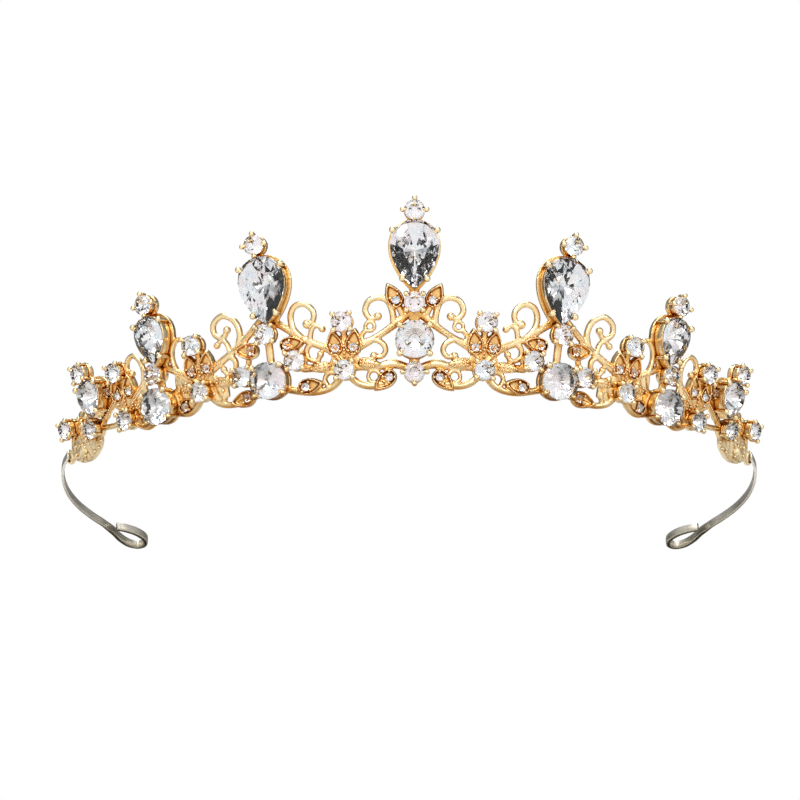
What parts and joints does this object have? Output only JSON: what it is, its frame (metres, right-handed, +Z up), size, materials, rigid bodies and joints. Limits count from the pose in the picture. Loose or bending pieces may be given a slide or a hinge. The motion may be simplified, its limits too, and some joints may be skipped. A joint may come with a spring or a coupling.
{
  "type": "tiara",
  "caption": "Flared filigree tiara: gold-coloured cast scroll panels with prong-set clear round and pear stones, on two springy strip arms that end in rolled loops.",
  "frame": {"origin": "middle of the footprint, on the plane the loops and the lowest stones rest on", "axes": "+X to the right seen from the front, -Y towards the front of the tiara, +Z up"},
  "size_m": [0.144, 0.0954, 0.0352],
  "materials": {
    "gold_casting": "polished plated",
    "gold_cup": "polished plated",
    "gold_solder": "satin",
    "crystal": "faceted",
    "strip_metal": "satin"
  },
  "bodies": {
    "root": {"panel_centre": "gold_casting", "panel_inner_left": "gold_casting", "panel_inner_right": "gold_casting", "panel_outer_left": "gold_casting", "panel_outer_right": "gold_casting", "panel_end_left": "gold_casting", "panel_end_right": "gold_casting", "link_inner_left": "gold_casting", "link_inner_right": "gold_casting", "link_middle_left": "gold_casting", "link_middle_right": "gold_casting", "link_outer_left": "gold_casting", "link_outer_right": "gold_casting", "cups_small_round": "gold_cup", "cups_big_round": "gold_cup", "cups_big_pear": "gold_cup", "cups_middle_pear": "gold_cup", "cups_end_pear": "gold_cup", "stones_small_round": "crystal", "stones_big_round": "crystal", "stones_big_pear": "crystal", "stones_middle_pear": "crystal", "stones_end_pear": "crystal", "stones_tiny": "crystal", "end_knot_left": "gold_solder", "end_knot_right": "gold_solder", "arm_left": "strip_metal", "arm_right": "strip_metal"}
  },
  "joints": []
}
